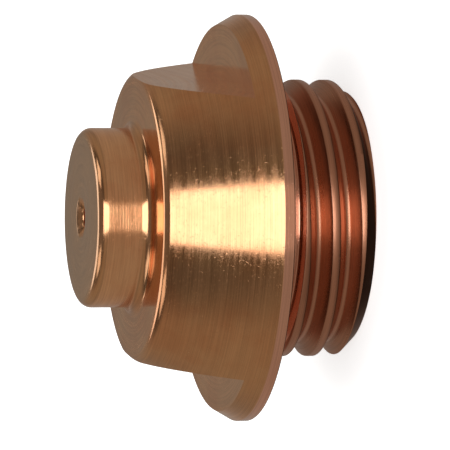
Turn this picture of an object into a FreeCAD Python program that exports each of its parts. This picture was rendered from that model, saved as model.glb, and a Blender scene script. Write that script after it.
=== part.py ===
"""Plasma torch nozzle: one turned copper piece, millimetres.

The nozzle stands on its rear ring face at z = 0 with the nose up, on the Z axis.
From the rear it has a screw blank with a lead chamfer, a relief neck, a wide thin
flange, a tapered body with two spanner flats, and a short nose with the arc orifice.
The inside is the electrode chamber: open at the rear, coned down to the orifice.
"""

import FreeCAD, Part

import math
import os

import Sketcher

NODE = "torch_nozzle"

# Driving dimensions, in millimetres and degrees.
SIZES = {
    "overall_length": 13.6,        # rear ring face to nose face
    "rear_length": 5.16,           # rear ring face to the flange seat
    "rim_thickness": 0.52,         # plain edge of the flange
    "flange_diameter": 20.5,
    "rim_edge_break": 0.05,        # chamfer on both corners of the flange edge
    "thread_diameter": 14.0,       # M14 x 1.5 blank
    "thread_lead_chamfer": 0.68,
    "neck_diameter": 12.0,         # relief behind the flange
    "neck_width": 1.4,
    "taper_half_angle": 30.0,      # body taper, measured from the axis
    "shoulder_radius": 0.6,        # rounding where the taper meets the front face
    "nose_diameter": 9.0,
    "nose_length": 2.64,           # body front face to nose face
    "nose_edge_radius": 0.52,
    "nose_root_radius": 0.5,
    "across_flats": 14.0,
    "flat_length": 4.4,            # body front face to the step where the flats end
    "chamber_diameter": 9.0,       # electrode chamber
    "chamber_mouth_chamfer": 0.4,
    "chamber_half_angle": 45.0,    # cone at the chamber's end, measured from the axis
    "chamber_corner_radius": 0.8,
    "orifice_diameter": 1.3,
    "orifice_length": 2.5,         # throat of the chamber cone to nose face
    "orifice_mouth_width": 0.4,    # radial width of the flare at the nose face
    "orifice_mouth_depth": 0.25,
}

doc = FreeCAD.newDocument("TorchNozzle")
sheet = doc.addObject("Spreadsheet::Sheet", "sizes")
for row, (alias, value) in enumerate(SIZES.items(), start=1):
    sheet.set("A%d" % row, alias)
    sheet.set("B%d" % row, str(value))
    sheet.setAlias("B%d" % row, alias)
doc.recompute()

# Heights and radii that several features share, as expressions on the sheet.
REAR = "0"
SEAT = "sizes.rear_length"
RIM_FRONT = "sizes.rear_length + sizes.rim_thickness"
NOSE_FACE = "sizes.overall_length"
SHOULDER = "sizes.overall_length - sizes.nose_length"
STEP = SHOULDER + " - sizes.flat_length"
NECK_END = "sizes.rear_length - sizes.neck_width"
FLANGE_R = "sizes.flange_diameter / 2"
THREAD_R = "sizes.thread_diameter / 2"
NECK_R = "sizes.neck_diameter / 2"
NOSE_R = "sizes.nose_diameter / 2"
TAPER_R = "%s - (%s - %s) * tan(sizes.taper_half_angle * 1 deg)" % (
    FLANGE_R, SHOULDER, "(" + RIM_FRONT + ")")
CHAMBER_R = "sizes.chamber_diameter / 2"
ORIFICE_R = "sizes.orifice_diameter / 2"
THROAT = "sizes.overall_length - sizes.orifice_length"
CHAMBER_CONE = "%s - (%s - %s) / tan(sizes.chamber_half_angle * 1 deg)" % (
    THROAT, CHAMBER_R, ORIFICE_R)


def value(expression):
    """Number that an expression on the sheet stands for."""
    return float(sheet.evalExpression(expression))


def origin_plane(body, role):
    """One of the body's own origin planes or axes."""
    return next(f for f in body.Origin.OriginFeatures if f.Role == role)


def new_sketch(body, name, role, height=None):
    """Sketch on an origin plane of the body, lifted to a height if one is given."""
    sketch = body.newObject("Sketcher::SketchObject", name)
    sketch.AttachmentSupport = (origin_plane(body, role), [""])
    sketch.MapMode = "FlatFace"
    if height:
        sketch.setExpression("AttachmentOffset.Base.z", height)
    return sketch


def bind(sketch, direction, vertex, expression):
    """Hold one coordinate of a corner at an expression on the sheet."""
    axis = -2 if direction == "DistanceX" else -1
    if expression == "0":
        sketch.addConstraint(Sketcher.Constraint("PointOnObject", vertex, 1, axis))
        return
    size = value(expression)
    index = sketch.addConstraint(Sketcher.Constraint(direction, -1, 1, vertex, 1, size))
    name = "%s_%d" % (direction[-1].lower(), vertex)
    sketch.renameConstraint(index, name)
    sketch.setExpression("Constraints." + name, expression)


def draw_outline(sketch, corners):
    """Closed outline through corners, each a pair of expressions."""
    points = [FreeCAD.Vector(value(x), value(y), 0) for x, y in corners]
    count = len(points)
    for i in range(count):
        sketch.addGeometry(Part.LineSegment(points[i], points[(i + 1) % count]), False)
    for i in range(count):
        sketch.addConstraint(Sketcher.Constraint("Coincident", i, 2, (i + 1) % count, 1))
    for i, (x, y) in enumerate(corners):
        bind(sketch, "DistanceX", i, x)
        bind(sketch, "DistanceY", i, y)


def ring_edge(feature, radius, height):
    """Name of the round edge of that radius about Z, at that height."""
    for number, edge in enumerate(feature.Shape.Edges, start=1):
        curve = edge.Curve
        if not isinstance(curve, Part.Circle):
            continue
        same_radius = math.isclose(curve.Radius, value(radius), abs_tol=1e-6)
        if same_radius and math.isclose(curve.Center.z, value(height), abs_tol=1e-6):
            return "Edge%d" % number
    raise RuntimeError("no edge of radius %s at height %s" % (radius, height))


def dress(body, kind, name, size_property, size, edges):
    """Fillet or chamfer on round edges of the body's tip."""
    doc.recompute()
    base = body.Tip
    names = [ring_edge(base, radius, height) for radius, height in edges]
    feature = body.newObject("PartDesign::" + kind, name)
    feature.Base = (base, names)
    feature.setExpression(size_property, size)
    return feature


def turn_outside(body):
    """Blank as it leaves the lathe, solid inside and with sharp corners."""
    sketch = new_sketch(body, "outside_profile", "XZ_Plane")
    lead = "sizes.thread_lead_chamfer"
    draw_outline(sketch, [
        ("0", REAR),
        (THREAD_R + " - " + lead, REAR),
        (THREAD_R, lead),
        (THREAD_R, NECK_END),
        (NECK_R, NECK_END),
        (NECK_R, SEAT),
        (FLANGE_R, SEAT),
        (FLANGE_R, RIM_FRONT),
        (TAPER_R, SHOULDER),
        (NOSE_R, SHOULDER),
        (NOSE_R, NOSE_FACE),
        ("0", NOSE_FACE),
    ])
    blank = body.newObject("PartDesign::Revolution", "turned_blank")
    blank.Profile = sketch
    blank.ReferenceAxis = (sketch, ["V_Axis"])
    blank.Angle = 360
    sketch.Visibility = False


def round_outside(body):
    """Nose rounding, nose root, shoulder rounding and the flange's edge breaks."""
    dress(body, "Fillet", "nose_rounding", "Radius", "sizes.nose_edge_radius",
          [(NOSE_R, NOSE_FACE)])
    dress(body, "Fillet", "nose_root", "Radius", "sizes.nose_root_radius",
          [(NOSE_R, SHOULDER)])
    dress(body, "Fillet", "shoulder_rounding", "Radius", "sizes.shoulder_radius",
          [(TAPER_R, SHOULDER)])
    dress(body, "Chamfer", "rim_edge_breaks", "Size", "sizes.rim_edge_break",
          [(FLANGE_R, SEAT), (FLANGE_R, RIM_FRONT)])


def bore_inside(body):
    """Electrode chamber, its cone and the arc orifice, in one turned cut."""
    sketch = new_sketch(body, "inside_profile", "XZ_Plane")
    mouth = "sizes.chamber_mouth_chamfer"
    draw_outline(sketch, [
        ("0", REAR),
        (CHAMBER_R + " + " + mouth, REAR),
        (CHAMBER_R, mouth),
        (CHAMBER_R, CHAMBER_CONE),
        (ORIFICE_R, THROAT),
        (ORIFICE_R, NOSE_FACE + " - sizes.orifice_mouth_depth"),
        (ORIFICE_R + " + sizes.orifice_mouth_width", NOSE_FACE),
        ("0", NOSE_FACE),
    ])
    cut = body.newObject("PartDesign::Groove", "electrode_chamber")
    cut.Profile = sketch
    cut.ReferenceAxis = (sketch, ["V_Axis"])
    cut.Angle = 360
    sketch.Visibility = False
    dress(body, "Fillet", "chamber_corner", "Radius", "sizes.chamber_corner_radius",
          [(CHAMBER_R, CHAMBER_CONE)])


def mill_flats(body):
    """Two parallel spanner flats, from the body's front face down to a step."""
    sketch = new_sketch(body, "flat_outline", "XY_Plane", STEP)
    inner = "sizes.across_flats / 2"
    outer = "sizes.flange_diameter"
    draw_outline(sketch, [
        (inner, "-" + outer),
        (outer, "-" + outer),
        (outer, outer),
        (inner, outer),
    ])
    doc.recompute()
    flat = body.newObject("PartDesign::Pocket", "spanner_flat")
    flat.Profile = sketch
    flat.Type = "Length"
    flat.Reversed = True
    flat.setExpression("Length", "sizes.flat_length + sizes.nose_length")
    sketch.Visibility = False
    doc.recompute()
    pair = body.newObject("PartDesign::Mirrored", "spanner_flat_pair")
    pair.Originals = [flat]
    pair.MirrorPlane = (origin_plane(body, "YZ_Plane"), [""])
    body.Tip = pair


def build_nozzle():
    """The whole nozzle as one body."""
    body = doc.addObject("PartDesign::Body", NODE)
    body.Label = NODE
    body.Placement = FreeCAD.Placement()
    turn_outside(body)
    round_outside(body)
    bore_inside(body)
    mill_flats(body)
    doc.recompute()
    return body


def check(body):
    """Stop if any object failed, the solid is not whole or a cut removed nothing."""
    for item in doc.Objects:
        if "Invalid" in item.State or "Error" in item.State:
            raise RuntimeError("%s failed: %s" % (item.Name, item.State))
    if body.Shape.isNull() or not body.Shape.isValid() or len(body.Shape.Solids) != 1:
        raise RuntimeError("the nozzle is not one valid solid")
    for name in ("electrode_chamber", "spanner_flat", "spanner_flat_pair"):
        feature = doc.getObject(name)
        if feature.Shape.Volume >= feature.BaseFeature.Shape.Volume:
            raise RuntimeError(name + " removes nothing")


nozzle = build_nozzle()
check(nozzle)
os.makedirs("parts", exist_ok=True)
nozzle.Shape.exportStep("parts/%s.step" % nozzle.Label)
print("%s: volume %.1f mm3, box %s" % (nozzle.Label, nozzle.Shape.Volume, nozzle.Shape.BoundBox))
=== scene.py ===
import math

import bmesh
import bpy
from mathutils import Matrix, Vector


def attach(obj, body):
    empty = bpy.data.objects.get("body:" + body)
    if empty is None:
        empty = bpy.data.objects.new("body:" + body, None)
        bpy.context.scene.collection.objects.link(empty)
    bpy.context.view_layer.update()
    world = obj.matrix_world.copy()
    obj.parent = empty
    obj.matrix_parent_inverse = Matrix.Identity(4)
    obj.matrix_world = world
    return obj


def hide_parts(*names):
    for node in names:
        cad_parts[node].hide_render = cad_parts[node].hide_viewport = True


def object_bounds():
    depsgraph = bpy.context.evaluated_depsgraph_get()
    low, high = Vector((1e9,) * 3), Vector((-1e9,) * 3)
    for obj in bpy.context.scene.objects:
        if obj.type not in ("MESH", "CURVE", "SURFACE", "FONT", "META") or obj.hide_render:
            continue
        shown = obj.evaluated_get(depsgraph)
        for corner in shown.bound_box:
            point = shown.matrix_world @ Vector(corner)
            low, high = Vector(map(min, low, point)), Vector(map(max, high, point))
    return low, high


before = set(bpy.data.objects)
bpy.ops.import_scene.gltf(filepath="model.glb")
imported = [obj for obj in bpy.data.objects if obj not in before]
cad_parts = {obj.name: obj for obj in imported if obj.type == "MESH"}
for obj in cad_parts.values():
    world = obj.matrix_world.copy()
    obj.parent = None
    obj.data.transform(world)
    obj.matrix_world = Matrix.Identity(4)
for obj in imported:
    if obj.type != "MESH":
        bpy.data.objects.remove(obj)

bl_info = {
    "name": "Plasma torch nozzle",
    "version": (1, 0, 0),
    "blender": (4, 5, 0),
    "location": "3D View > Sidebar > Nozzle",
    "description": "Turns a copper torch nozzle, cuts its flats and thread, and sets its studio",
    "category": "Add Mesh",
}

MM = 0.001
CAD_LOW, CAD_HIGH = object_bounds()
NODE = "torch_nozzle"


def length(name, description, millimetres):
    """A length property with its default in millimetres."""
    return bpy.props.FloatProperty(
        name=name, description=description, default=millimetres * MM, min=0.0,
        subtype="DISTANCE", unit="LENGTH", precision=5)


def tilt(name, description, degrees):
    """An angle property with its default in degrees."""
    return bpy.props.FloatProperty(
        name=name, description=description, default=math.radians(degrees),
        subtype="ANGLE", unit="ROTATION")


def radiance(name, description, brightness):
    """A soft box's brightness."""
    return bpy.props.FloatProperty(
        name=name, description=description, default=brightness, min=0.0)


def colour(name, description, rgb):
    """A colour property."""
    return bpy.props.FloatVectorProperty(
        name=name, description=description, default=rgb, min=0.0, max=1.0,
        size=3, subtype="COLOR")


class NozzleSizes(bpy.types.PropertyGroup):
    """Sizes of the turned nozzle."""
    overall: bpy.props.FloatProperty(
        name="Overall length", description="Rear ring face to nose face",
        default=CAD_HIGH.z - CAD_LOW.z, subtype="DISTANCE", unit="LENGTH", precision=5)
    flange: bpy.props.FloatProperty(
        name="Flange diameter", description="Across the thin flange",
        default=CAD_HIGH.x - CAD_LOW.x, subtype="DISTANCE", unit="LENGTH", precision=5)
    rear: length("Rear length", "Rear ring face to the flange seat", 5.16)
    rim: length("Rim thickness", "Plain edge of the flange", 0.52)
    rim_break: length("Rim edge break", "Rounding on both corners of the rim", 0.05)
    thread_diameter: length("Thread diameter", "Over the thread's crests", 14.0)
    lead: length("Lead chamfer", "Chamfer where the thread starts", 0.68)
    neck_diameter: length("Neck diameter", "Relief behind the flange", 12.0)
    neck_width: length("Neck width", "Length of the relief", 1.4)
    taper: tilt("Taper angle", "Body taper measured from the axis", 30.0)
    shoulder: length("Shoulder radius", "Rounding from taper to front face", 0.6)
    nose_diameter: length("Nose diameter", "Across the short nose", 9.0)
    nose_length: length("Nose length", "Body front face to nose face", 2.64)
    nose_edge: length("Nose edge radius", "Rounding round the nose face", 0.52)
    nose_root: length("Nose root radius", "Fillet at the foot of the nose", 0.5)
    across_flats: length("Across flats", "Between the two spanner flats", 14.0)
    flat_length: length("Flat length", "Body front face to the step", 4.4)
    chamber: length("Chamber diameter", "Electrode chamber", 9.0)
    chamber_mouth: length("Chamber mouth", "Chamfer at the chamber's mouth", 0.4)
    chamber_corner: length("Chamber corner", "Rounding at the foot of the cone", 0.8)
    orifice: length("Orifice diameter", "Arc hole", 1.3)
    orifice_length: length("Orifice length", "Throat to nose face", 2.5)
    mouth_width: length("Orifice mouth width", "Radial width of the flare", 0.4)
    mouth_depth: length("Orifice mouth depth", "Depth of the flare", 0.25)
    steps: bpy.props.IntProperty(
        name="Steps round", description="Facets round the axis", default=288, min=48)


class ThreadSizes(bpy.types.PropertyGroup):
    """Sizes of the screw thread's groove."""
    pitch: length("Pitch", "Rise for each turn", 1.5)
    depth: length("Depth", "Crest to root", 0.736)
    root: length("Root flat", "Width of the groove's floor", 0.25)


class CopperFinish(bpy.types.PropertyGroup):
    """Colours and marks of the bare copper."""
    bright: colour("Bright copper", "Freshly turned surface", (0.95, 0.49, 0.245))
    deep: colour("Deep copper", "Slightly tarnished surface", (0.88, 0.40, 0.19))
    pink: colour("Pink copper", "Rim, neck and thread", (0.90, 0.45, 0.30))
    nose: colour("Nose copper", "Heat-tinted nose face", (0.80, 0.46, 0.26))
    # Painted shade: the thread colour is a darker copper that stands in for the shaded floor
    # close by, which the thread mirrors.
    thread: colour("Thread copper", "Deeper colour in the screw thread", (0.62, 0.27, 0.16))
    groove: length("Tool mark spacing", "Spacing of the fine turning marks", 0.06)


class StudioSettings(bpy.types.PropertyGroup):
    """Floor, lights and camera."""
    turn: tilt("Camera azimuth", "Turn of the camera round the nozzle", 9.3)
    height: tilt("Camera elevation", "Angle above the floor", 13.7)
    distance: length("Camera distance", "Camera to the nose", 215.1)
    field: tilt("Field of view", "Across the square frame", 5.99)
    aim_right: length("Aim right", "Aim point right of the nose", 7.217)
    aim_down: length("Aim down", "Aim point below the nose", 0.3665)
    key: radiance("Key brightness", "Radiance of the front soft box", 2.3)
    top: radiance("Top brightness", "Radiance of the overhead soft box", 1.6)
    back: radiance("Back brightness", "Radiance of the soft box behind", 1.2)
    left: radiance("Left brightness", "Radiance of the left soft box", 0.9)
    right: radiance("Right brightness", "Radiance of the right soft box", 0.9)
    floor: colour("Floor", "Pale floor", (0.9, 0.9, 0.9))


# ---------------------------------------------------------------- mesh helpers

# Corner roundings of the turned profile.
EDGE_BREAK = 0.03 * MM
NECK_FOOT, NECK_CORNER = 0.12 * MM, 0.15 * MM
MOUTH_EDGE, BORE_EDGE = 0.06 * MM, 0.1 * MM
# Block that stands for the milling cutter at each flat.
MILL_WIDE, MILL_LONG, MILL_TALL = 8 * MM, 30 * MM, 10 * MM
# Corners closer than this are one corner.
WELD = 1e-7
# Faces that meet at more than this are shaded apart.
SHARP = math.radians(25.0)


def rounded(corners, step=math.radians(7.5)):
    """Closed profile through (radius, height, rounding) corners, with true arcs."""
    points = []
    count = len(corners)
    for i, (r, z, size) in enumerate(corners):
        here = Vector((r, z))
        if size <= 0.0:
            points.append(here)
            continue
        before = Vector(corners[i - 1][:2]) - here
        after = Vector(corners[(i + 1) % count][:2]) - here
        before.normalize()
        after.normalize()
        half = before.angle(after) / 2.0
        reach = size / math.tan(half)
        centre = here + (before + after).normalized() * (size / math.sin(half))
        first = here + before * reach - centre
        last = here + after * reach - centre
        sweep = math.pi - 2.0 * half
        if first.x * last.y - first.y * last.x < 0.0:
            sweep = -sweep
        parts = max(2, math.ceil(abs(sweep) / step))
        for k in range(parts + 1):
            a = sweep * k / parts
            points.append(centre + Vector((
                first.x * math.cos(a) - first.y * math.sin(a),
                first.x * math.sin(a) + first.y * math.cos(a))))
    return points


def lathe(name, profile, steps):
    """Closed solid of revolution about Z from a closed profile."""
    bm = bmesh.new()
    rings = []
    for k in range(steps):
        a = 2.0 * math.pi * k / steps
        c, s = math.cos(a), math.sin(a)
        rings.append([bm.verts.new((p.x * c, p.x * s, p.y)) for p in profile])
    count = len(profile)
    for k in range(steps):
        one, two = rings[k], rings[(k + 1) % steps]
        for i in range(count):
            j = (i + 1) % count
            bm.faces.new((one[i], two[i], two[j], one[j]))
    bmesh.ops.recalc_face_normals(bm, faces=bm.faces)
    mesh = bpy.data.meshes.new(name)
    bm.to_mesh(mesh)
    bm.free()
    thing = bpy.data.objects.new(name, mesh)
    bpy.context.scene.collection.objects.link(thing)
    return thing


def settle(thing):
    """Plain mesh of an object with its modifiers applied."""
    graph = bpy.context.evaluated_depsgraph_get()
    mesh = bpy.data.meshes.new_from_object(thing.evaluated_get(graph))
    thing.modifiers.clear()
    old = thing.data
    thing.data = mesh
    bpy.data.meshes.remove(old)
    return thing


def cut(thing, tool):
    """Take the tool's volume out of the thing."""
    change = thing.modifiers.new("cut", "BOOLEAN")
    change.operation = "DIFFERENCE"
    change.solver = "EXACT"
    change.object = tool
    settle(thing)
    bpy.data.objects.remove(tool)


def face_out(mesh):
    """Turn every face of a closed mesh outward."""
    bm = bmesh.new()
    bm.from_mesh(mesh)
    bmesh.ops.recalc_face_normals(bm, faces=bm.faces)
    bm.to_mesh(mesh)
    bm.free()


def weld(mesh):
    """Merge doubled corners and make sure that the mesh is closed."""
    bm = bmesh.new()
    bm.from_mesh(mesh)
    bmesh.ops.remove_doubles(bm, verts=bm.verts, dist=WELD)
    if not all(edge.is_manifold for edge in bm.edges):
        raise RuntimeError("the nozzle's mesh has a gap")
    bm.to_mesh(mesh)
    bm.free()


def piece_named(name):
    """The piece made by an earlier operator."""
    thing = bpy.data.objects.get(name)
    if thing is None:
        raise RuntimeError("make %s first" % name)
    return thing


# ------------------------------------------------------------------ node helpers

class Wiring:
    """Small helper that adds and joins nodes in one tree."""

    ACROSS, WIDE, TALL = 12, 180, 220
    # The Mix node's sockets for colours: factor, two colours, and the result.
    MIX_INPUTS, MIX_OUTPUT = (0, 6, 7), 2

    def __init__(self, tree):
        self.tree = tree
        self.count = 0

    def feed(self, socket, source):
        """Join a socket to a node's output, or set its constant."""
        if isinstance(source, bpy.types.Node):
            source = source.outputs[0]
        if isinstance(source, bpy.types.NodeSocket):
            self.tree.links.new(source, socket)
        else:
            socket.default_value = source

    def node(self, kind, inputs=None, **settings):
        """New node with its settings made and its inputs fed."""
        n = self.tree.nodes.new(kind)
        row, column = divmod(self.count, self.ACROSS)
        n.location = (self.WIDE * column, -self.TALL * row)
        self.count += 1
        for key, setting in settings.items():
            setattr(n, key, setting)
        for key, source in (inputs or {}).items():
            self.feed(n.inputs[key], source)
        return n

    def calc(self, operation, *values):
        """One step of arithmetic."""
        inputs = dict(enumerate(values))
        return self.node("ShaderNodeMath", inputs, operation=operation).outputs[0]

    def span(self, source, low, high, to_low=0.0, to_high=1.0, smooth=True):
        """Value of source from low to high spread over the target range."""
        return self.node(
            "ShaderNodeMapRange",
            {"Value": source, "From Min": low, "From Max": high,
             "To Min": to_low, "To Max": to_high},
            interpolation_type="SMOOTHSTEP" if smooth else "LINEAR").outputs[0]

    def blend(self, factor, one, two, way="MIX"):
        """Colour two laid over colour one."""
        n = self.node("ShaderNodeMix", data_type="RGBA", blend_type=way)
        for index, source in zip(self.MIX_INPUTS, (factor, one, two)):
            self.feed(n.inputs[index], source)
        return n.outputs[self.MIX_OUTPUT]


def rgba(rgb):
    """Colour with an alpha of one."""
    return (rgb[0], rgb[1], rgb[2], 1.0)


# ------------------------------------------------------------------ copper

# Share of the radius in the tool marks' run, so that marks cross flat faces as well.
FACE_SHARE = 0.7
# A change of colour starts and ends this far behind and ahead of its edge, in mm.
BEHIND, AHEAD = 0.06, 0.04
# The nose face's colour fades in over these depths, in mm.
FACE_DEEP, FACE_SHALLOW = 0.10, 0.02
# Height of the tool marks.
MARK_HEIGHT = 0.01 * MM


def turned_copper(finish, sizes):
    """Bare copper with circular tool marks, handling scratches, a light tarnish and painted shade
    in the screw thread.
    """
    material = bpy.data.materials.new("turned_copper")
    material.use_nodes = True
    tree = material.node_tree
    tree.nodes.clear()
    w = Wiring(tree)
    place = w.node("ShaderNodeTexCoord").outputs["Object"]
    at = w.node("ShaderNodeVectorMath", {0: place, "Scale": 1.0 / MM}, operation="SCALE")
    xyz = w.node("ShaderNodeSeparateXYZ", {0: at.outputs[0]})
    x, y, z = xyz.outputs
    radius = w.calc("SQRT", w.calc("ADD", w.calc("MULTIPLY", x, x), w.calc("MULTIPLY", y, y)))
    along = w.calc("SUBTRACT", z, w.calc("MULTIPLY", radius, FACE_SHARE))
    turn_x = w.calc("DIVIDE", x, radius)
    turn_y = w.calc("DIVIDE", y, radius)

    def rings(spacing, wander):
        """Noise drawn out round the axis, like marks left by a lathe tool."""
        spot = w.node("ShaderNodeCombineXYZ", {
            0: w.calc("MULTIPLY", along, 1.0 / spacing),
            1: w.calc("MULTIPLY", turn_x, wander),
            2: w.calc("MULTIPLY", turn_y, wander)})
        return w.node("ShaderNodeTexNoise", {
            "Vector": spot, "Scale": 1.0, "Detail": 2.0, "Roughness": 0.6}).outputs[0]

    fine = rings(spacing=finish.groove / MM, wander=1.6)
    broad = rings(spacing=0.35, wander=1.0)
    patch = w.node("ShaderNodeTexNoise", {
        "Vector": at.outputs[0], "Scale": 0.35, "Detail": 4.0, "Roughness": 0.6}).outputs[0]
    speck = w.node("ShaderNodeTexNoise", {
        "Vector": at.outputs[0], "Scale": 6.0, "Detail": 3.0, "Roughness": 0.7}).outputs[0]

    rim_front = (sizes.rear + sizes.rim) / MM
    neck_wall = (sizes.rear - sizes.neck_width) / MM
    nose_face = sizes.overall / MM
    tone = w.blend(w.span(patch, 0.35, 0.7), rgba(finish.bright), rgba(finish.deep))
    rear = w.span(z, rim_front - BEHIND, rim_front + AHEAD, 1.0, 0.0)
    tone = w.blend(rear, tone, rgba(finish.pink))
    # Painted shade: below the neck wall the copper turns to the darker thread colour, standing in
    # for the shaded floor close by that the thread mirrors. The same mask also makes the thread
    # rougher.
    screw = w.span(z, neck_wall - BEHIND, neck_wall + AHEAD, 1.0, 0.0)
    tone = w.blend(screw, tone, rgba(finish.thread))
    front = w.span(z, nose_face - FACE_DEEP, nose_face - FACE_SHALLOW)
    tone = w.blend(front, tone, rgba(finish.nose))
    # Each tool mark is a little darker or paler than the next.
    streak = w.span(fine, 0.3, 0.7, 0.86, 1.04)
    tone = w.blend(1.0, tone, w.node("ShaderNodeCombineColor", {
        0: streak, 1: streak, 2: streak}).outputs[0], "MULTIPLY")

    def scratches(turn, size, rarity):
        """Thin straight handling scratches that all lean one way."""
        leaned = w.node("ShaderNodeVectorRotate", {
            "Vector": at.outputs[0], "Rotation": turn}, rotation_type="EULER_XYZ")
        drawn = w.node("ShaderNodeVectorMath", {
            0: leaned.outputs[0], 1: size}, operation="MULTIPLY")
        grain = w.node("ShaderNodeTexNoise", {
            "Vector": drawn.outputs[0], "Scale": 1.0, "Detail": 1.0}).outputs[0]
        return w.span(grain, rarity, rarity + 0.05)

    marks = w.calc("MAXIMUM", scratches((0.4, 0.9, 0.3), (9.0, 0.5, 6.0), 0.70),
                  scratches((1.1, 0.2, 1.9), (11.0, 8.0, 0.6), 0.71))
    rough = w.calc("ADD", w.span(broad, 0.3, 0.7, 0.10, 0.19),
                  w.span(speck, 0.5, 0.8, 0.0, 0.10))
    rough = w.calc("ADD", rough, w.calc("MULTIPLY", screw, 0.16))
    height = w.calc("ADD", fine, w.calc("MULTIPLY", speck, 0.12))
    height = w.calc("SUBTRACT", height, w.calc("MULTIPLY", marks, 0.9))
    bump = w.node("ShaderNodeBump", {
        "Strength": 0.2, "Distance": MARK_HEIGHT, "Height": height})
    shader = w.node("ShaderNodeBsdfPrincipled", {
        "Base Color": tone, "Metallic": 1.0, "Roughness": rough,
        "Normal": bump.outputs[0]})
    w.node("ShaderNodeOutputMaterial", {"Surface": shader.outputs[0]})
    return material


def pale_floor(settings):
    """Matt floor that glows a little, so shadows stay soft."""
    material = bpy.data.materials.new("pale_floor")
    material.use_nodes = True
    shader = material.node_tree.nodes["Principled BSDF"]
    shader.inputs["Base Color"].default_value = rgba(settings.floor)
    shader.inputs["Roughness"].default_value = 1.0
    shader.inputs["Specular IOR Level"].default_value = 0.0
    shader.inputs["Emission Color"].default_value = (1.0, 1.0, 1.0, 1.0)
    shader.inputs["Emission Strength"].default_value = FLOOR_GLOW
    return material


# ------------------------------------------------------------------ thread

FLANK = math.radians(30.0)
# The groove starts below the rear face and runs out past the neck wall. On the camera's
# side its middle passes GROOVE_DROP below the neck wall.
GROOVE_START, RUN_OUT, GROOVE_DROP = -0.9 * MM, 0.62 * MM, 0.785 * MM
# Rounded root, in mm: depth from the floor, and width beside the floor's edge.
ROOT_ROUNDING = ((0.0, -0.055), (0.012, -0.015))
# The straight flank stops this far from the floor and from the crest, in mm.
FLANK_FOOT, FLANK_HEAD = 0.045, 0.035
# Rounded crest, in mm: height past the crest, and width beside the flank's end.
CREST_ROUNDING = ((-0.014, 0.025), (0.0, 0.0635), (0.010, 0.091), (0.35, 0.11))


def thread_tree():
    """Sweep the drawn groove section along a helix."""
    tree = bpy.data.node_groups.new("thread_groove", "GeometryNodeTree")
    face = tree.interface
    face.new_socket("Section", in_out="INPUT", socket_type="NodeSocketGeometry")
    for name in ("Radius", "Rise", "Turns", "Start height", "Start angle"):
        face.new_socket(name, in_out="INPUT", socket_type="NodeSocketFloat")
    face.new_socket("Steps each turn", in_out="INPUT", socket_type="NodeSocketInt")
    face.new_socket("Finish", in_out="INPUT", socket_type="NodeSocketMaterial")
    face.new_socket("Groove", in_out="OUTPUT", socket_type="NodeSocketGeometry")
    w = Wiring(tree)
    given = w.node("NodeGroupInput").outputs
    # Reversed, the spiral climbs as a right-hand thread.
    helix = w.node("GeometryNodeCurveSpiral", {
        "Resolution": given["Steps each turn"], "Rotations": given["Turns"],
        "Start Radius": given["Radius"], "End Radius": given["Radius"],
        "Height": given["Rise"], "Reverse": True})
    upright = w.node("GeometryNodeSetCurveNormal", {"Curve": helix.outputs[0]})
    upright.mode = "Z_UP"
    lift = w.node("ShaderNodeCombineXYZ", {2: given["Start height"]})
    turn = w.node("ShaderNodeCombineXYZ", {2: given["Start angle"]})
    placed = w.node("GeometryNodeTransform", {
        "Geometry": upright.outputs[0], "Translation": lift.outputs[0],
        "Rotation": turn.outputs[0]})
    section = w.node("GeometryNodeMeshToCurve", {"Mesh": given["Section"]})
    swept = w.node("GeometryNodeCurveToMesh", {
        "Curve": placed.outputs[0], "Profile Curve": section.outputs[0],
        "Fill Caps": True})
    real = w.node("GeometryNodeRealizeInstances", {"Geometry": swept.outputs[0]})
    dressed = w.node("GeometryNodeSetMaterial", {
        "Geometry": real.outputs[0], "Material": given["Finish"]})
    w.node("NodeGroupOutput", {"Groove": dressed.outputs[0]})
    return tree


def set_input(change, name, setting):
    """Set one named input of a Geometry Nodes modifier by its identifier."""
    for item in change.node_group.interface.items_tree:
        if item.item_type == "SOCKET" and item.in_out == "INPUT" and item.name == name:
            change[item.identifier] = setting
            return
    raise RuntimeError("no input named %s" % name)


def groove_section(thread):
    """Half-widths of the groove at each depth, from its floor to past the crests."""
    half = thread.root / 2.0
    top = thread.depth
    side = [(depth * MM, half + wide * MM) for depth, wide in ROOT_ROUNDING]
    for depth in (FLANK_FOOT * MM, top - FLANK_HEAD * MM):
        side.append((depth, half + depth * math.tan(FLANK)))
    end = side[-1][1]
    return side + [(top + rise * MM, end + wide * MM) for rise, wide in CREST_ROUNDING]


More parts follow.
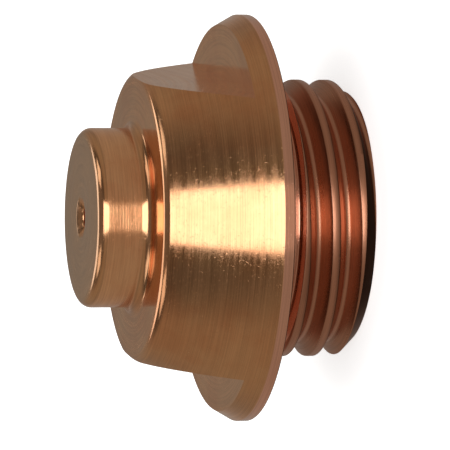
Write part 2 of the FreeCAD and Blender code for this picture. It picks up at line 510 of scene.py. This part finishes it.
class NOZZLE_OT_turn_body(bpy.types.Operator):
    """Turn the nozzle from bar, inside and out, and mill its two spanner flats"""
    bl_idname = "nozzle.turn_body"
    bl_label = "Turn the body"

    def execute(self, context):
        s = context.scene.nozzle_sizes
        seat = s.rear
        rim_front = seat + s.rim
        shoulder = s.overall - s.nose_length
        flange = s.flange / 2.0
        thread = s.thread_diameter / 2.0
        neck = s.neck_diameter / 2.0
        nose = s.nose_diameter / 2.0
        taper = flange - (shoulder - rim_front) * math.tan(s.taper)
        chamber = s.chamber / 2.0
        orifice = s.orifice / 2.0
        throat = s.overall - s.orifice_length
        foot = throat - (chamber - orifice)
        profile = rounded([
            (thread - s.lead, 0.0, EDGE_BREAK),
            (thread, s.lead, 0.0),
            (thread, seat - s.neck_width, EDGE_BREAK),
            (neck, seat - s.neck_width, NECK_FOOT),
            (neck, seat, NECK_CORNER),
            (flange, seat, s.rim_break),
            (flange, rim_front, s.rim_break),
            (taper, shoulder, s.shoulder),
            (nose, shoulder, s.nose_root),
            (nose, s.overall, s.nose_edge),
            (orifice + s.mouth_width, s.overall, MOUTH_EDGE),
            (orifice, s.overall - s.mouth_depth, BORE_EDGE),
            (orifice, throat, BORE_EDGE),
            (chamber, foot, s.chamber_corner),
            (chamber, s.chamber_mouth, EDGE_BREAK),
            (chamber + s.chamber_mouth, 0.0, EDGE_BREAK),
        ])
        body = lathe("nozzle_body", profile, s.steps)
        mill = bmesh.new()
        flat = s.across_flats / 2.0
        floor = shoulder - s.flat_length
        for side in (-1.0, 1.0):
            block = Matrix.LocRotScale(
                Vector((side * (flat + MILL_WIDE / 2), 0.0, floor + MILL_TALL / 2)), None,
                Vector((MILL_WIDE, MILL_LONG, MILL_TALL)))
            bmesh.ops.create_cube(mill, size=1.0, matrix=block)
        mesh = bpy.data.meshes.new("mill")
        mill.to_mesh(mesh)
        mill.free()
        cutter = bpy.data.objects.new("mill", mesh)
        context.scene.collection.objects.link(cutter)
        cut(body, cutter)
        return {"FINISHED"}


class NOZZLE_OT_cut_thread(bpy.types.Operator):
    """Cut the right-hand screw thread and finish the nozzle as one copper piece"""
    bl_idname = "nozzle.cut_thread"
    bl_label = "Cut the thread"

    def execute(self, context):
        s = context.scene.nozzle_sizes
        t = context.scene.nozzle_thread
        studio = context.scene.nozzle_studio
        body = piece_named("nozzle_body")
        copper = turned_copper(context.scene.nozzle_finish, s)
        side = groove_section(t)
        drawn = [(d, -h) for d, h in reversed(side)] + side
        mesh = bpy.data.meshes.new("groove")
        count = len(drawn)
        mesh.from_pydata([(d, h, 0.0) for d, h in drawn],
                         [(i, (i + 1) % count) for i in range(count)], [])
        groove = bpy.data.objects.new("groove", mesh)
        context.scene.collection.objects.link(groove)
        change = groove.modifiers.new("thread", "NODES")
        change.node_group = thread_tree()
        neck_wall = s.rear - s.neck_width
        low = GROOVE_START
        high = neck_wall + RUN_OUT
        set_input(change, "Radius", s.thread_diameter / 2.0 - t.depth)
        set_input(change, "Rise", high - low)
        set_input(change, "Turns", (high - low) / t.pitch)
        set_input(change, "Start height", low)
        set_input(change, "Steps each turn", s.steps)
        near = studio.turn - math.pi / 2.0
        at = neck_wall - GROOVE_DROP
        set_input(change, "Start angle", near - 2.0 * math.pi * (at - low) / t.pitch)
        set_input(change, "Finish", copper)
        settle(groove)
        face_out(groove.data)
        cut(body, groove)
        mesh = body.data
        mesh.materials.clear()
        mesh.materials.append(copper)
        for polygon in mesh.polygons:
            polygon.material_index = 0
            polygon.use_smooth = True
        weld(mesh)
        mesh.set_sharp_from_angle(angle=SHARP)
        body.name = "copper_nozzle"
        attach(body, "root")
        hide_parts(NODE)
        return {"FINISHED"}


# ------------------------------------------------------------------ studio

# Name, degrees round from the camera, degrees up, metres away, metres wide and tall.
SOFT_BOXES = (
    ("key", 0.0, 25.5, 0.5, (0.32, 0.61)),
    ("top", 0.0, 88.0, 0.6, (0.50, 0.50)),
    ("back", 180.0, 47.0, 0.6, (0.40, 0.30)),
    ("left", -100.0, 58.0, 0.6, (0.3, 0.2)),
    ("right", 100.0, 58.0, 0.6, (0.3, 0.2)),
)
KEY_TINT = (0.97, 1.0, 1.03)
# What the copper mirrors, from straight down at 0 to straight up at 1.
STUDIO_WALLS = (
    (0.00, (0.012, 0.011, 0.010)), (0.13, (0.02, 0.018, 0.016)),
    (0.24, (0.12, 0.11, 0.10)), (0.33, (0.29, 0.265, 0.23)),
    (0.46, (0.31, 0.29, 0.26)), (0.55, (0.21, 0.195, 0.17)),
    (0.66, (0.25, 0.23, 0.19)), (0.77, (0.25, 0.22, 0.18)),
    (0.84, (0.085, 0.08, 0.07)), (1.00, (0.16, 0.15, 0.14)),
)
# Pale patch low in front: colour, half-width in degrees, and heights of both soft edges.
PATCH = (0.48, 0.42, 0.36)
PATCH_SIDE = (math.radians(16), math.radians(21))
PATCH_FOOT, PATCH_HEAD = (-0.55, -0.40), (-0.09, -0.04)
BACKDROP = (0.96, 0.96, 0.96)
FLOOR_REACH = 4.0
FLOOR_GLOW = 0.72


def soft_box(name, aim, azimuth, elevation, distance, size, brightness):
    """Rectangular soft light that faces the nozzle."""
    light = bpy.data.lights.new(name, "AREA")
    light.shape = "RECTANGLE"
    light.size, light.size_y = size
    light.energy = brightness * math.pi * size[0] * size[1]
    lamp = bpy.data.objects.new(name, light)
    bpy.context.scene.collection.objects.link(lamp)
    a, e = azimuth, elevation
    out = Vector((math.sin(a) * math.cos(e), -math.cos(a) * math.cos(e), math.sin(e)))
    across = Vector((math.cos(a), math.sin(a), 0.0))
    up = out.cross(across)
    lamp.matrix_world = Matrix.Translation(aim + out * distance) @ Matrix(
        (across, up, out)).transposed().to_4x4()
    lamp.visible_camera = False
    return lamp


def surroundings(settings):
    """Dim studio seen in the copper: darker overhead, paler low down in front."""
    world = bpy.data.worlds.new("studio")
    bpy.context.scene.world = world
    world.use_nodes = True
    tree = world.node_tree
    tree.nodes.clear()
    w = Wiring(tree)
    way = w.node("ShaderNodeTexCoord").outputs["Generated"]
    z = w.node("ShaderNodeSeparateXYZ", {0: way}).outputs[2]
    a = settings.turn
    near = w.node("ShaderNodeVectorMath", {
        0: way, 1: (math.sin(a), -math.cos(a), 0.0)}, operation="DOT_PRODUCT").outputs["Value"]
    side = w.node("ShaderNodeVectorMath", {
        0: way, 1: (math.cos(a), math.sin(a), 0.0)}, operation="DOT_PRODUCT").outputs["Value"]
    ramp = w.node("ShaderNodeValToRGB", {
        0: w.span(z, -1.0, 1.0, smooth=False)})
    band = ramp.color_ramp
    while len(band.elements) < len(STUDIO_WALLS):
        band.elements.new(0.5)
    for element, (spot, rgb) in zip(band.elements, STUDIO_WALLS):
        element.position = spot
        element.color = rgba(rgb)
    # A bright table top in front mirrors the soft box.
    angle = w.calc("ABSOLUTE", w.calc("ARCTAN2", side, near))
    tall = w.calc("MULTIPLY", w.span(z, *PATCH_FOOT), w.span(z, *PATCH_HEAD, 1.0, 0.0))
    patch = w.calc("MULTIPLY", w.span(angle, *PATCH_SIDE, 1.0, 0.0), tall)
    seen = w.blend(patch, ramp.outputs[0], rgba(PATCH))
    camera = w.node("ShaderNodeLightPath").outputs["Is Camera Ray"]
    shade = w.blend(camera, seen, rgba(BACKDROP))
    back = w.node("ShaderNodeBackground", {"Color": shade, "Strength": 1.0})
    w.node("ShaderNodeOutputWorld", {"Surface": back.outputs[0]})


class NOZZLE_OT_set_stage(bpy.types.Operator):
    """Lay the pale floor, hang the soft boxes and place the camera"""
    bl_idname = "nozzle.set_stage"
    bl_label = "Set the stage"

    def execute(self, context):
        scene = context.scene
        s = scene.nozzle_sizes
        v = scene.nozzle_studio
        mesh = bpy.data.meshes.new("floor")
        reach = FLOOR_REACH
        corners = [(-reach, -reach, 0), (reach, -reach, 0), (reach, reach, 0), (-reach, reach, 0)]
        mesh.from_pydata(corners, [], [(0, 1, 2, 3)])
        mesh.materials.append(pale_floor(v))
        floor = bpy.data.objects.new("floor", mesh)
        scene.collection.objects.link(floor)
        floor.visible_glossy = False
        floor.visible_shadow = False
        middle = Vector((0.0, 0.0, s.overall / 2.0))
        for name, turn, up, away, size in SOFT_BOXES:
            lamp = soft_box(name, middle, v.turn + math.radians(turn), math.radians(up),
                            away, size, getattr(v, name))
            if name == "key":
                lamp.data.color = KEY_TINT
            lamp.visible_glossy = name != "top"
        surroundings(v)
        scene.view_settings.view_transform = "Standard"
        scene.view_settings.look = "None"

        tilt_up, turn = v.height, v.turn
        back = Vector((math.cos(tilt_up) * math.sin(turn),
                       -math.cos(tilt_up) * math.cos(turn), math.sin(tilt_up)))
        right = Vector((math.sin(tilt_up) * math.sin(turn),
                        -math.sin(tilt_up) * math.cos(turn), -math.cos(tilt_up)))
        up = back.cross(right)
        nose = Vector((0.0, 0.0, s.overall))
        aim = nose + right * v.aim_right - up * v.aim_down
        lens = bpy.data.cameras.new("camera")
        lens.sensor_fit = "HORIZONTAL"
        lens.lens_unit = "FOV"
        lens.angle = v.field
        lens.clip_start = 0.005
        lens.clip_end = 20.0
        camera = bpy.data.objects.new("camera", lens)
        scene.collection.objects.link(camera)
        camera.matrix_world = Matrix.Translation(aim + back * v.distance) @ Matrix(
            (right, up, back)).transposed().to_4x4()
        scene.camera = camera
        return {"FINISHED"}


class NOZZLE_PT_panel(bpy.types.Panel):
    """Sizes, finish and studio of the nozzle"""
    bl_label = "Torch nozzle"
    bl_idname = "NOZZLE_PT_panel"
    bl_space_type = "VIEW_3D"
    bl_region_type = "UI"
    bl_category = "Nozzle"

    def draw(self, context):
        for operator in OPERATORS:
            self.layout.operator(operator.bl_idname)
        for name, group in GROUPS:
            box = self.layout.box()
            box.label(text=group.__doc__)
            for key in group.__annotations__:
                box.prop(getattr(context.scene, name), key)


OPERATORS = (NOZZLE_OT_turn_body, NOZZLE_OT_cut_thread, NOZZLE_OT_set_stage)
GROUPS = (("nozzle_sizes", NozzleSizes), ("nozzle_thread", ThreadSizes),
          ("nozzle_finish", CopperFinish), ("nozzle_studio", StudioSettings))


def register():
    for name, group in GROUPS:
        bpy.utils.register_class(group)
        setattr(bpy.types.Scene, name, bpy.props.PointerProperty(type=group))
    for operator in OPERATORS:
        bpy.utils.register_class(operator)
    bpy.utils.register_class(NOZZLE_PT_panel)


def unregister():
    bpy.utils.unregister_class(NOZZLE_PT_panel)
    for operator in reversed(OPERATORS):
        bpy.utils.unregister_class(operator)
    for name, group in reversed(GROUPS):
        delattr(bpy.types.Scene, name)
        bpy.utils.unregister_class(group)


def main():
    """Build the nozzle and its studio."""
    register()
    for operator in OPERATORS:
        group, name = operator.bl_idname.split(".")
        getattr(getattr(bpy.ops, group), name)()


if __name__ == "__main__":
    main()
